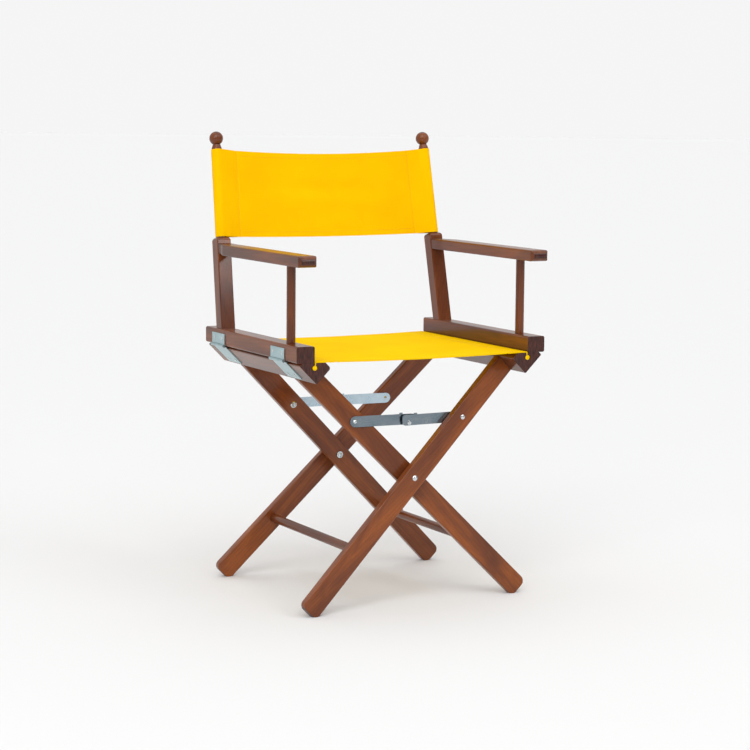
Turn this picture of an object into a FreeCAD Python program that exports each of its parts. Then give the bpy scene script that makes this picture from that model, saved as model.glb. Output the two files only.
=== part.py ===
import FreeCAD
import Part
import math
import os

# Folding director's chair: two crossed wooden leg frames, two hinged arm frames, canvas seat and back.
# Millimetres. +Z is up, the sitter faces -Y, +X is the right side as seen from the front.
# The origin is on the floor, below the middle of the chair's bounding box.

# Leg frames
PIVOT_Z = 236.5          # height of the crossing pivot
LEG_WIDTH = 40.0
LEG_THICK = 16.0
LEG_GAP = 8.0            # room between crossed legs for the stay links and the spacer
LEG_ROUND = 12.0         # corner radius at the foot
LEG_TO_RAIL = 288.0      # pivot to the underside of the seat rail, along the leg
FRONT_PAIR = 49.2        # front end of the rails to the middle of the front pair of legs, at the pivot
REAR_PAIR = 363.4        # front end of the rails to the middle of the rear pair
LEG_SPLAY = 0.083        # legs lean: the feet stand further apart, front to back, than the tops
FOOT_FLAT = 1.2          # depth sanded off the rounded foot where it stands
RUNG_REACH = 176.0       # pivot to rung, along the leg
RUNG_D = 17.0
RUNG_TENON_D = 12.0
RUNG_TENON = 10.0
STAY_REACH = 152.0       # pivot to stay bolt, along the leg

# Rails and arms
RAIL_LENGTH = 410.0
RAILS_MIDDLE_Y = -12.7    # the posts lean back past the rails, so the rails sit forward of the middle
SEAT_RAIL_DEEP = 48.0
SEAT_RAIL_RISE = 39.0    # lower edge of the seat rail to its planed top
ARM_RAIL_W = 36.0
ARM_RAIL_H = 30.0
ARM_OVERHANG = 40.2      # outer side of an arm past the seat rail's lower edge
ARM_LIFT = 0.2           # arm rail to seat rail
ARMREST_RISE = 192.3     # seat rail's top to the armrest's top
ARMREST_THICK = 21.0
ARMREST_EASE = 3.0       # radius along the long edges
ARMREST_CORNER = 8.0
ARMREST_REAR_W = 26.0
ARMREST_OVERHANG = 11.0  # past the front end of the rails
ARM_POST_D = 16.5
ARM_POST_BACK = 62.0     # front end of the rails to the arm post
ARM_TENON_D = 9.0

# Back posts. The rises are measured from the seat rail's top.
POST_W = 28.8
POST_DEEP = 26.4
POST_IN = 20.2           # outer side of the arm to the middle of the post, on top of the arm rail
POST_BACK = 360.0        # front end of the rails to the middle of the post
POST_TOE_IN = 11.0       # the ball sits this far inward of the post's foot
POST_LEAN = 73.0         # and this far back
BALL_RISE = 391.6
BALL_D = 26.8
NECK_D = 15.0
POST_SQUARE_RISE = 202.0
POST_DOWEL_D = 19.6
POST_TENON_D = 14.0

# Hinges between seat rail and arm rail
HINGE_LENGTH = 58.0
HINGE_THICK = 1.8
HINGE_OFFSET = 2.6       # pin to the faces the leaves lie on
KNUCKLE_R = 2.9
PIN_R = 1.5
UPPER_LEAF = 23.0
LOWER_LEAF = 51.0
HINGE_BACKS = (78.0, 346.0)    # front end of the rails to the middle of each hinge

# Stays
STAY_WIDTH = 20.0
STAY_THICK = 1.8
STAY_DROP = 4.5          # middle rivet below the line of the end bolts
STAY_TAIL = 15.0         # link past the middle rivet
STAY_BOLT_R = 3.0
STAY_PLAY = 0.1          # link hole larger than its bolt, in radius
LINK_GAP = 0.5           # link to the face of its leg
RIVET_R = 2.5
RIVET_HEAD = 0.35        # low enough to pass between link and leg when folded
RIVET_SHY = 0.3          # end of each half short of the middle of the gap
LUG_BACK = 11.0          # middle rivet to the lug on the link's top edge
LUG_H = 2.6
HEAD_H = 1.4
GROOVED_HEAD = 6.0       # heads larger than this in radius have a ring groove
NUT_R = 6.5
NUT_H = 1.6
SPACER_R = 8.0

# Canvas. The rises are measured from the seat rail's top.
CANVAS = 1.0
ROD_R = 3.3
HEM_PLAY = 0.4           # hem to the wall of the groove
GROOVE_SLOT = 3.2
BACK_LOW_RISE = 203.2
BACK_HIGH_RISE = 370.5
SLEEVE_R = 11.2
SLEEVE_W = 50.0

BOLT_R = 4.0
CLEAR = 0.1
ROOT2 = math.sqrt(2.0)

os.makedirs("parts", exist_ok=True)


def vec(x, y, z):
    return FreeCAD.Vector(x, y, z)


def block(x0, x1, y0, y1, z0, z1):
    return Part.makeBox(x1 - x0, y1 - y0, z1 - z0, vec(x0, y0, z0))


def rod_y(x, z, y0, y1, radius):
    return Part.makeCylinder(radius, y1 - y0, vec(x, y0, z), vec(0, 1, 0))


def mirror_x(shape):
    return shape.mirror(vec(0, 0, 0), vec(1, 0, 0))


def on_leg(shape):
    # Leg drawings run along X from the pivot, with Z across the leg: turn them up to the right.
    turned = shape.copy()
    turned.rotate(vec(0, 0, 0), vec(0, 1, 0), -45.0)
    turned.translate(vec(0, 0, PIVOT_Z))
    return turned


def leg_point(along, across):
    return ((along - across) / ROOT2, PIVOT_Z + (along + across) / ROOT2)


def is_corner_edge(edge, x, z):
    middle = edge.CenterOfMass
    box = edge.BoundBox
    upright = box.YLength > 1.0 and box.XLength < 0.01 and box.ZLength < 0.01
    return upright and abs(middle.x - x) < 0.01 and abs(middle.z - z) < 0.01


def round_y_edges(shape, corners, radius):
    chosen = [e for e in shape.Edges if any(is_corner_edge(e, x, z) for x, z in corners)]
    return shape.makeFillet(radius, chosen)


def save(name, shape):
    if shape.ShapeType == "Compound" and len(shape.Solids) == 1:
        shape = shape.Solids[0]
    shape.exportStep("parts/" + name + ".step")


FRONT_Y = RAILS_MIDDLE_Y - RAIL_LENGTH / 2
REAR_Y = RAILS_MIDDLE_Y + RAIL_LENGTH / 2
HALF_W = LEG_WIDTH / 2
HALF_T = LEG_THICK / 2
TILT = math.atan(LEG_SPLAY)

# Lower edge of the right seat rail, and the heights and widths that follow from it.
RAIL_X, RAIL_Z = leg_point(LEG_TO_RAIL, -HALF_W)
SEAT_RAIL_TOP = RAIL_Z + SEAT_RAIL_RISE
ARM_OUT = RAIL_X + ARM_OVERHANG
ARM_IN = ARM_OUT - ARM_RAIL_W
ARM_LOW = SEAT_RAIL_TOP + ARM_LIFT
ARM_HIGH = ARM_LOW + ARM_RAIL_H
ARMREST_TOP = SEAT_RAIL_TOP + ARMREST_RISE
POST_X = ARM_OUT - POST_IN
BALL_Z = SEAT_RAIL_TOP + BALL_RISE
POST_SQUARE_TOP = SEAT_RAIL_TOP + POST_SQUARE_RISE
BACK_LOW = SEAT_RAIL_TOP + BACK_LOW_RISE
BACK_HIGH = SEAT_RAIL_TOP + BACK_HIGH_RISE
HEM_R = ROD_R + 0.1 + CANVAS
GROOVE_R = HEM_R + HEM_PLAY
RIVET_REACH = LEG_GAP / 2 - LINK_GAP - STAY_THICK - RIVET_SHY

# Middle of each leg's thickness at the crossing pivot, from front to back:
# outer frame's front leg, inner frame's front leg, inner frame's rear leg, outer frame's rear leg.
LEG_PITCH = LEG_THICK + LEG_GAP
OUTER_FRONT = FRONT_Y + FRONT_PAIR - LEG_PITCH / 2
INNER_FRONT = FRONT_Y + FRONT_PAIR + LEG_PITCH / 2
INNER_REAR = FRONT_Y + REAR_PAIR - LEG_PITCH / 2
OUTER_REAR = FRONT_Y + REAR_PAIR + LEG_PITCH / 2

# Foot length that puts the rounded corner FOOT_FLAT below the floor before it is sanded flat.
FOOT_DROP = (PIVOT_Z - LEG_ROUND + FOOT_FLAT) * ROOT2 - HALF_W + LEG_ROUND
FOOT_REACH = FOOT_DROP / math.cos(TILT) + LEG_ROUND
LEG_TENON = (24.0, 10.0, 16.0)


def leg_place(y_pivot, splay):
    # Frame of a leg of the outer frame: X up the leg, Y through its thickness, Z across it.
    c = math.cos(TILT) / ROOT2
    s = math.sin(TILT) * splay
    return FreeCAD.Placement(FreeCAD.Matrix(
        c, -s / ROOT2, -1 / ROOT2, 0,
        s, math.cos(TILT), 0, y_pivot,
        c, -s / ROOT2, 1 / ROOT2, PIVOT_Z,
        0, 0, 0, 1))


def placed(shape, place):
    copy = shape.copy()
    copy.Placement = place.multiply(copy.Placement)
    return copy


def leg_y(y_pivot, splay, along):
    return y_pivot + splay * LEG_SPLAY * along


# Legs. Each is drawn as part of the outer frame, which rises to the right; the inner frame mirrors it.
# splay is 1 for a front leg, whose foot stands forward of its top, and -1 for a rear leg.
def make_leg(y_pivot, splay, pivot_r):
    blank = block(-FOOT_REACH, LEG_TO_RAIL + 6, -HALF_T, HALF_T, -HALF_W, HALF_W)
    blank = round_y_edges(blank, [(-FOOT_REACH, -HALF_W), (-FOOT_REACH, HALF_W)], LEG_ROUND)
    blank = blank.makeFillet(2.5, [e for e in blank.Edges if e.BoundBox.XLength > 300.0])
    blank = blank.cut(rod_y(STAY_REACH, 0, -HALF_T - 1, HALF_T + 1, STAY_BOLT_R))
    leg = placed(blank, leg_place(y_pivot, splay))
    leg = leg.cut(on_leg(block(LEG_TO_RAIL, LEG_TO_RAIL + 40, -400, 400, -60, 60)))
    leg = leg.cut(block(-400, 400, -400, 400, -9, 0))
    wide, thick, deep = LEG_TENON
    top_y = leg_y(y_pivot, splay, LEG_TO_RAIL)
    tenon = block(LEG_TO_RAIL - 6, LEG_TO_RAIL + deep,
                  top_y - thick / 2, top_y + thick / 2, -wide / 2, wide / 2)
    leg = leg.fuse(on_leg(tenon)).removeSplitter()
    leg = leg.cut(rod_y(0, PIVOT_Z, y_pivot - 20, y_pivot + 20, pivot_r))
    x, z = leg_point(-RUNG_REACH, 0)
    face = leg_y(y_pivot, splay, -RUNG_REACH) + splay * HALF_T
    low, high = sorted((face - splay * RUNG_TENON, face + splay * 4))
    return leg.cut(rod_y(x, z, low, high, RUNG_TENON_D / 2))


outer_front_leg = make_leg(OUTER_FRONT, 1, BOLT_R)
outer_rear_leg = make_leg(OUTER_REAR, -1, BOLT_R)
inner_front_leg = make_leg(INNER_FRONT, 1, BOLT_R + CLEAR)
inner_rear_leg = make_leg(INNER_REAR, -1, BOLT_R + CLEAR)
save("outer_leg_front", outer_front_leg)
save("outer_leg_rear", outer_rear_leg)
save("inner_leg_front", mirror_x(inner_front_leg))
save("inner_leg_rear", mirror_x(inner_rear_leg))


# Rungs: dowels with thinner ends glued into the legs, their shoulders cut to the leaning legs.
def make_rung(front_leg, rear_leg, y_front, y_rear):
    x, z = leg_point(-RUNG_REACH, 0)
    y0 = leg_y(y_front, 1, -RUNG_REACH) + HALF_T
    y1 = leg_y(y_rear, -1, -RUNG_REACH) - HALF_T
    rung = rod_y(x, z, y0 - 2, y1 + 2, RUNG_D / 2)
    rung = rung.fuse(rod_y(x, z, y0 - RUNG_TENON, y1 + RUNG_TENON, RUNG_TENON_D / 2)).removeSplitter()
    return rung.cut(front_leg).cut(rear_leg)


save("outer_rung", make_rung(outer_front_leg, outer_rear_leg, OUTER_FRONT, OUTER_REAR))
save("inner_rung", mirror_x(make_rung(inner_front_leg, inner_rear_leg, INNER_FRONT, INNER_REAR)))


# Seat rails: a bar turned 45 degrees, its top planed level for the arm rail, with a keyhole
# groove that holds the rod in the seat canvas's hem, and mortises for the two legs.
GROOVE_X = RAIL_X + 3.8
GROOVE_Z = RAIL_Z + 29.8
SLOT_X = RAIL_X + 1.0
SLOT_END = SLOT_X + GROOVE_SLOT


def make_seat_rail(legs):
    far = LEG_TO_RAIL + SEAT_RAIL_DEEP
    bar = block(LEG_TO_RAIL, far, FRONT_Y, REAR_Y, -HALF_W, HALF_W)
    bar = round_y_edges(bar, [(LEG_TO_RAIL, -HALF_W), (far, -HALF_W)], 2.0)
    bar = round_y_edges(bar, [(LEG_TO_RAIL, HALF_W)], 5.0)
    wide, thick, deep = LEG_TENON
    for y_pivot, splay in legs:
        middle = leg_y(y_pivot, splay, LEG_TO_RAIL)
        mortise = block(LEG_TO_RAIL - 1, LEG_TO_RAIL + deep,
                        middle - thick / 2, middle + thick / 2, -wide / 2, wide / 2)
        bar = bar.cut(mortise)
    rail = on_leg(bar)
    rail = rail.cut(block(0, 400, FRONT_Y - 1, REAR_Y + 1, SEAT_RAIL_TOP, SEAT_RAIL_TOP + 60))
    rail = rail.cut(rod_y(GROOVE_X, GROOVE_Z, FRONT_Y - 1, REAR_Y + 1, GROOVE_R))
    slot = block(SLOT_X, SLOT_END, FRONT_Y - 1, REAR_Y + 1, GROOVE_Z, SEAT_RAIL_TOP + 1)
    return rail.cut(slot)


right_rail = make_seat_rail([(OUTER_FRONT, 1), (OUTER_REAR, -1)])
left_rail = make_seat_rail([(INNER_FRONT, 1), (INNER_REAR, -1)])

# Rods in the hems of the seat canvas.
rod = rod_y(GROOVE_X, GROOVE_Z, FRONT_Y + 2, REAR_Y - 2, ROD_R)
save("right_seat_rod", rod)
save("left_seat_rod", mirror_x(rod))

# Arm rails: square bars resting on the seat rails, drilled for the two posts.
POST_Y = FRONT_Y + POST_BACK
ARM_POST_X = (ARM_OUT + ARM_IN) / 2
ARM_POST_Y = FRONT_Y + ARM_POST_BACK
ARM_TENON = 14.0
POST_TENON = 22.0

arm_rail = block(ARM_IN, ARM_OUT, FRONT_Y, REAR_Y, ARM_LOW, ARM_HIGH)
arm_rail = round_y_edges(arm_rail, [(ARM_IN, ARM_HIGH), (ARM_OUT, ARM_HIGH), (ARM_IN, ARM_LOW)], 3.6)
arm_rail = round_y_edges(arm_rail, [(ARM_OUT, ARM_LOW)], 3.2)
arm_post_seat = vec(ARM_POST_X, ARM_POST_Y, ARM_HIGH - ARM_TENON)
arm_rail = arm_rail.cut(Part.makeCylinder(ARM_TENON_D / 2, 20, arm_post_seat))
arm_rail = arm_rail.cut(Part.makeCylinder(POST_TENON_D / 2, 40, vec(POST_X, POST_Y, ARM_HIGH - POST_TENON)))

# Back posts: squared below, turned above to a dowel with a ball on top, leaning back and in.
post_foot = vec(POST_X, POST_Y, ARM_HIGH)
ball_centre = vec(POST_X - POST_TOE_IN, POST_Y + POST_LEAN, BALL_Z)
post_z = (ball_centre - post_foot).normalize()
post_x = (vec(1, 0, 0) - post_z * post_z.x).normalize()
post_y = post_z.cross(post_x)
post_place = FreeCAD.Placement(FreeCAD.Matrix(
    post_x.x, post_y.x, post_z.x, post_foot.x,
    post_x.y, post_y.y, post_z.y, post_foot.y,
    post_x.z, post_y.z, post_z.z, post_foot.z,
    0, 0, 0, 1))
post_length = (ball_centre - post_foot).Length
square_length = (POST_SQUARE_TOP - ARM_HIGH) / post_z.z


def on_post(shape):
    moved = shape.copy()
    moved.Placement = post_place
    return moved


square = block(-POST_W / 2, POST_W / 2, -POST_DEEP / 2, POST_DEEP / 2, -20, square_length)
square = square.makeFillet(2.0, [e for e in square.Edges if e.BoundBox.ZLength > 50.0])
square = square.makeFillet(6.0, [e for e in square.Edges if e.BoundBox.ZMin > square_length - 0.01])
neck_start = post_length - BALL_D / 2 - 6.0
neck_end = post_length - BALL_D / 2 + 1.0
dowel = Part.makeCylinder(POST_DOWEL_D / 2, neck_start - square_length + 10, vec(0, 0, square_length - 10))
dowel = dowel.fuse(Part.makeCone(POST_DOWEL_D / 2, NECK_D / 2, neck_end - neck_start, vec(0, 0, neck_start)))
ball = Part.makeSphere(BALL_D / 2, vec(0, 0, post_length))
post = on_post(square.fuse(dowel).fuse(ball).removeSplitter())
post = post.cut(block(0, 400, -400, 400, 0, ARM_HIGH))
post_tenon_foot = vec(POST_X, POST_Y, ARM_HIGH - POST_TENON)
post = post.fuse(Part.makeCylinder(POST_TENON_D / 2, POST_TENON + 5, post_tenon_foot))
post = post.removeSplitter()

# Armrests: flat boards, narrow where they meet the back post, eased along their edges, with a
# half-round front end.
# A dowel joins each one to the back post.
ARMREST_LOW = ARMREST_TOP - ARMREST_THICK
ARMREST_MID = (ARMREST_TOP + ARMREST_LOW) / 2
ARMREST_FRONT = FRONT_Y - ARMREST_OVERHANG
rise = (ARMREST_MID - ARM_HIGH) / (BALL_Z - ARM_HIGH)
meet_x = POST_X - POST_TOE_IN * rise
meet_y = POST_Y + POST_LEAN * rise
rear_in = meet_x - ARMREST_REAR_W / 2
rear_out = meet_x + ARMREST_REAR_W / 2
bend_start = meet_y - 62.0
bend_end = meet_y - 22.0
back_y = meet_y + 5.0


def line(x0, y0, x1, y1):
    return Part.LineSegment(vec(x0, y0, ARMREST_LOW), vec(x1, y1, ARMREST_LOW)).toShape()


def s_curve(x0, y0, x1, y1):
    curve = Part.BezierCurve()
    third = (y1 - y0) * 0.45
    curve.setPoles([vec(x0, y0, ARMREST_LOW), vec(x0, y0 + third, ARMREST_LOW),
                    vec(x1, y1 - third, ARMREST_LOW), vec(x1, y1, ARMREST_LOW)])
    return curve.toShape()


outline = Part.Wire([
    line(ARM_IN, ARMREST_FRONT, ARM_IN, bend_start),
    s_curve(ARM_IN, bend_start, rear_in, bend_end),
    line(rear_in, bend_end, rear_in, back_y),
    line(rear_in, back_y, rear_out, back_y),
    line(rear_out, back_y, rear_out, bend_end),
    s_curve(rear_out, bend_end, ARM_OUT, bend_start),
    line(ARM_OUT, bend_start, ARM_OUT, ARMREST_FRONT),
    line(ARM_OUT, ARMREST_FRONT, ARM_IN, ARMREST_FRONT),
])
armrest = Part.Face(outline).extrude(vec(0, 0, ARMREST_THICK))
front_corners = [e for e in armrest.Edges
                 if e.BoundBox.ZLength > 10.0 and e.BoundBox.YMax < ARMREST_FRONT + 0.01]
armrest = armrest.makeFillet(ARMREST_CORNER, front_corners)
eased = [e for e in armrest.Edges if e.BoundBox.ZLength < 0.01 and e.BoundBox.YMin < bend_end - 0.01]
armrest = armrest.makeFillet(ARMREST_EASE, eased)
nose_r = ARMREST_THICK / 2
nose_y = ARMREST_FRONT + nose_r
nose = Part.makeCylinder(nose_r, 80, vec(ARM_IN - 20, nose_y, ARMREST_MID), vec(1, 0, 0))
side_view = block(ARM_IN - 20, ARM_OUT + 20, nose_y, back_y + 10, ARMREST_LOW - 1, ARMREST_TOP + 1)
armrest = armrest.common(side_view.fuse(nose))
behind_post = on_post(block(-60, 60, -POST_DEEP / 2, 60, -20, post_length))
armrest = armrest.cut(behind_post)
armrest_dowel = rod_y(meet_x, ARMREST_MID, meet_y - 40, meet_y + 2, 4.0)
armrest = armrest.fuse(armrest_dowel).removeSplitter()
post = post.cut(rod_y(meet_x, ARMREST_MID, meet_y - 40, meet_y + 2, 4.0))
armrest = armrest.cut(Part.makeCylinder(ARM_TENON_D / 2, 12, vec(ARM_POST_X, ARM_POST_Y, ARMREST_LOW - 1)))
save("right_back_post", post)
save("left_back_post", mirror_x(post))
save("right_armrest", armrest)
save("left_armrest", mirror_x(armrest))

# Arm posts: dowels between arm rail and armrest, with thinner ends.
arm_post = Part.makeCylinder(ARM_POST_D / 2, ARMREST_LOW - ARM_HIGH, vec(ARM_POST_X, ARM_POST_Y, ARM_HIGH))
arm_post = arm_post.fuse(Part.makeCylinder(ARM_TENON_D / 2, ARMREST_LOW - ARM_HIGH + ARM_TENON + 11,
                                           vec(ARM_POST_X, ARM_POST_Y, ARM_HIGH - ARM_TENON)))
arm_post = arm_post.removeSplitter()
save("right_arm_post", arm_post)
save("left_arm_post", mirror_x(arm_post))

# Hinges. The pin runs along Y outside the corner where arm rail and seat rail meet.
# Leaves are drawn with the pin at the origin: upper leaf on a vertical face, lower leaf on a face
# that runs down and inward at 45 degrees.
PIN_X = ARM_OUT + HINGE_OFFSET
FACE_Z = RAIL_Z + ARM_OUT - RAIL_X
PIN_Z = FACE_Z - HINGE_OFFSET * (ROOT2 - 1)
THIRD = HINGE_LENGTH / 3


def knuckle(y0, y1, bore):
    return rod_y(0, 0, y0, y1, KNUCKLE_R).cut(rod_y(0, 0, y0 - 1, y1 + 1, bore))


def leaf_plate(y_middle, length):
    # The plate stands up from the pin, its wood side HINGE_OFFSET inward of the pin.
    y0 = y_middle - HINGE_LENGTH / 2
    y1 = y_middle + HINGE_LENGTH / 2
    plate = block(-HINGE_OFFSET, -HINGE_OFFSET + HINGE_THICK, y0, y1, 0, length)
    return plate.makeFillet(2.0, [e for e in plate.Edges if e.BoundBox.ZMin > length - 0.01
                                  and e.BoundBox.XLength > 1.0 and e.BoundBox.YLength < 0.01])


def make_leaf(y_middle, length, outer_segments, screw_spots):
    y0 = y_middle - HINGE_LENGTH / 2
    segments = [(y0, y0 + THIRD), (y0 + 2 * THIRD, y0 + HINGE_LENGTH)]
    gaps = [(y0 + THIRD, y0 + 2 * THIRD)]
    bore = PIN_R + 0.05
    if not outer_segments:
        segments, gaps = gaps, segments
        bore = PIN_R
    leaf = leaf_plate(y_middle, length)
    for g0, g1 in gaps:
        leaf = leaf.cut(rod_y(0, 0, g0 - 0.3, g1 + 0.3, KNUCKLE_R + 0.35))
    for s0, s1 in segments:
        leaf = leaf.cut(rod_y(0, 0, s0, s1, bore))
        leaf = leaf.fuse(knuckle(s0 + 0.15, s1 - 0.15, bore))
    for sy, sz in screw_spots:
        leaf = leaf.cut(Part.makeCylinder(1.8, 6, vec(-HINGE_OFFSET - 1, y_middle + sy, sz), vec(1, 0, 0)))
    return leaf.removeSplitter()


def place_upper(shape):
    moved = shape.copy()
    moved.translate(vec(PIN_X, 0, PIN_Z))
    return moved


def place_lower(shape):
    # The lower leaf is the upright leaf turned over and swung to the 45 degree face.
    moved = shape.mirror(vec(0, 0, 0), vec(0, 0, 1))
    moved.rotate(vec(0, 0, 0), vec(0, 1, 0), 45.0)
    moved.translate(vec(PIN_X, 0, PIN_Z))
    return moved


def screw(y, z, length, head_h):
    # Countersunk screw into the wood behind the leaf, its head standing a little proud.
    x0 = -HINGE_OFFSET
    shank = Part.makeCylinder(1.8, length, vec(x0 + HINGE_THICK - length, y, z), vec(1, 0, 0))
    head = Part.makeCylinder(3.2, head_h, vec(x0 + HINGE_THICK, y, z), vec(1, 0, 0))
    return shank.fuse(head).removeSplitter()


UPPER_SPOTS = [(-18.0, 14.0), (18.0, 14.0)]
LOWER_SPOTS = [(-14.0, 42.0), (14.0, 42.0)]
HINGE_YS = [FRONT_Y + back for back in HINGE_BACKS]
for label, y_hinge in zip(("front", "rear"), HINGE_YS):
    upper = place_upper(make_leaf(y_hinge, UPPER_LEAF, True, UPPER_SPOTS))
    lower = place_lower(make_leaf(y_hinge, LOWER_LEAF, False, LOWER_SPOTS))
    pin = rod_y(PIN_X, PIN_Z, y_hinge - HINGE_LENGTH / 2 - 0.6, y_hinge + HINGE_LENGTH / 2 + 0.6, PIN_R)
    save("right_" + label + "_upper_leaf", upper)
    save("left_" + label + "_upper_leaf", mirror_x(upper))
    save("right_" + label + "_lower_leaf", lower)
    save("left_" + label + "_lower_leaf", mirror_x(lower))
    save("right_" + label + "_hinge_pin", pin)
    save("left_" + label + "_hinge_pin", mirror_x(pin))

upper_screws = [place_upper(screw(y + sy, sz, 9.0, 0.25)) for y in HINGE_YS for sy, sz in UPPER_SPOTS]
lower_screws = [place_lower(screw(y + sy, sz, 9.0, 0.5)) for y in HINGE_YS for sy, sz in LOWER_SPOTS]
save("right_upper_hinge_screws", Part.makeCompound(upper_screws))
save("left_upper_hinge_screws", Part.makeCompound([mirror_x(s) for s in upper_screws]))
save("right_lower_hinge_screws", Part.makeCompound(lower_screws))
save("left_lower_hinge_screws", Part.makeCompound([mirror_x(s) for s in lower_screws]))

for shank in lower_screws:
    right_rail = right_rail.cut(shank)
    left_rail = left_rail.cut(shank)
for shank in upper_screws:
    arm_rail = arm_rail.cut(shank)
save("right_seat_rail", right_rail)
save("left_seat_rail", mirror_x(left_rail))
save("right_arm_rail", arm_rail)
save("left_arm_rail", mirror_x(arm_rail))

# Stays: two flat links meeting at a rivet in the middle, one pair in front and one behind. Each swings
# in the plane of the leg that it is bolted to. It is drawn for the right side, in a frame whose X lies
# level in that plane and whose origin is at the leg bolt.
STAY_X, STAY_Z = leg_point(STAY_REACH * math.cos(TILT), 0)


def link_place(y_pivot, splay):
    leg = leg_place(y_pivot, splay).toMatrix()
    up_leg = vec(leg.A11, leg.A21, leg.A31)
    through = vec(leg.A12, leg.A22, leg.A32)
    across = vec(leg.A13, leg.A23, leg.A33)
    level = (up_leg - across * (up_leg.z / across.z)).normalize()
    rise = level.cross(through)
    bolt = vec(0, y_pivot, PIVOT_Z) + up_leg * STAY_REACH
    return FreeCAD.Placement(FreeCAD.Matrix(
        level.x, through.x, rise.x, bolt.x,
        level.y, through.y, rise.y, bolt.y,
        level.z, through.z, rise.z, bolt.z,
        0, 0, 0, 1))


def rivet_back(place):
    # Distance along the link from the leg bolt to the middle of the chair.
    m = place.toMatrix()
    return (m.A14 - STAY_DROP * m.A13) / m.A11


def make_link(y_pivot, splay, y0):
    place = link_place(y_pivot, splay)
    middle = -rivet_back(place)
    half = STAY_WIDTH / 2
    y1 = y0 + STAY_THICK
    bar = block(middle - STAY_TAIL, 0, y0, y1, -half, half)
    bar = round_y_edges(bar, [(middle - STAY_TAIL, -half), (middle - STAY_TAIL, half)], 7.0)
    bar = bar.fuse(rod_y(0, 0, y0, y1, half))
    bar = bar.fuse(block(middle + LUG_BACK, middle + LUG_BACK + 6, y0, y1, half - 1, half + LUG_H))
    bar = bar.removeSplitter()
    bar = bar.cut(rod_y(0, 0, y0 - 1, y1 + 1, STAY_BOLT_R + STAY_PLAY))
    bar = bar.cut(rod_y(middle, -STAY_DROP, y0 - 1, y1 + 1, RIVET_R))
    return placed(bar, place)


# The centre rivet is two halves, one fixed in each link, that end face to face between the links.
def make_rivet_half(y_pivot, splay, y0, head_front):
    place = link_place(y_pivot, splay)
    x = -rivet_back(place)
    z = -STAY_DROP
    y1 = y0 + STAY_THICK
    if head_front:
        shank = rod_y(x, z, y0, y1 + RIVET_REACH, RIVET_R)
        head = Part.makeCone(RIVET_R + 1.8, RIVET_R, RIVET_HEAD, vec(x, y0, z), vec(0, -1, 0))
    else:
        shank = rod_y(x, z, y0 - RIVET_REACH, y1, RIVET_R)
        head = Part.makeCone(RIVET_R + 1.8, RIVET_R, RIVET_HEAD, vec(x, y1, z), vec(0, 1, 0))
    return placed(shank.fuse(head).removeSplitter(), place)


BEHIND_LEG = HALF_T + LINK_GAP
BEFORE_LEG = -HALF_T - LINK_GAP - STAY_THICK
save("front_right_stay", make_link(OUTER_FRONT, 1, BEHIND_LEG))
save("front_left_stay", mirror_x(make_link(INNER_FRONT, 1, BEFORE_LEG)))
save("rear_right_stay", make_link(OUTER_REAR, -1, BEFORE_LEG))
save("rear_left_stay", mirror_x(make_link(INNER_REAR, -1, BEHIND_LEG)))
save("front_right_rivet_half", make_rivet_half(OUTER_FRONT, 1, BEHIND_LEG, True))
save("front_left_rivet_half", mirror_x(make_rivet_half(INNER_FRONT, 1, BEFORE_LEG, False)))
save("rear_right_rivet_half", make_rivet_half(OUTER_REAR, -1, BEFORE_LEG, False))
save("rear_left_rivet_half", mirror_x(make_rivet_half(INNER_REAR, -1, BEHIND_LEG, True)))


# Stay bolts: through leg and link, domed where they show and flush where another link passes.
def dome(x, z, y, direction, radius, height):
    ball_r = (radius * radius + height * height) / (2 * height)
    sphere = Part.makeSphere(ball_r, vec(x, y - direction * (ball_r - height), z))
    low, high = sorted((y, y + direction * (height + 0.1)))
    return sphere.common(rod_y(x, z, low, high, radius))


def ring_groove(x, z, y0, y1, inner_r, outer_r):
    return rod_y(x, z, y0, y1, outer_r).cut(rod_y(x, z, y0 - 1, y1 + 1, inner_r))


def make_stay_bolt(y_pivot, splay, y0, y1, front_head, rear_head):
    bolt = rod_y(STAY_REACH, 0, y0, y1, STAY_BOLT_R)
    if front_head:
        bolt = bolt.fuse(dome(STAY_REACH, 0, y0, -1, front_head, HEAD_H))
        if front_head > GROOVED_HEAD:
            bolt = bolt.cut(ring_groove(STAY_REACH, 0, y0 - HEAD_H - 0.1, y0 - 0.3, 2.8, 4.0))
    if rear_head:
        bolt = bolt.fuse(dome(STAY_REACH, 0, y1, 1, rear_head, HEAD_H))
    return placed(bolt.removeSplitter(), leg_place(y_pivot, splay))


REAR_OF_LINK = BEHIND_LEG + STAY_THICK
outer_bolts = [
    make_stay_bolt(OUTER_FRONT, 1, -HALF_T, REAR_OF_LINK, 4.5, 0),
    make_stay_bolt(OUTER_REAR, -1, BEFORE_LEG, HALF_T, 3.6, 4.5),
]
inner_bolts = [
    mirror_x(make_stay_bolt(INNER_FRONT, 1, BEFORE_LEG, HALF_T, 3.6, 4.5)),
    mirror_x(make_stay_bolt(INNER_REAR, -1, -HALF_T, REAR_OF_LINK, 6.4, 0)),
]
save("outer_stay_bolts", Part.makeCompound(outer_bolts))
save("inner_stay_bolts", Part.makeCompound(inner_bolts))


# Crossing pivots: a bolt through both legs of a pair, a spacer between them and a flat nut.
# The head lies on the leaning face of the outer frame's leg; the shank runs level, front to back.
def make_pivot(y_outer, splay, y_end):
    head = placed(dome(0, 0, -splay * HALF_T, -splay, 5.3, 2.0), leg_place(y_outer, splay))
    face = y_outer - splay * HALF_T / math.cos(TILT)
    low, high = sorted((face, y_end))
    return head.fuse(rod_y(0, PIVOT_Z, low, high, BOLT_R)).removeSplitter()


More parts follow.
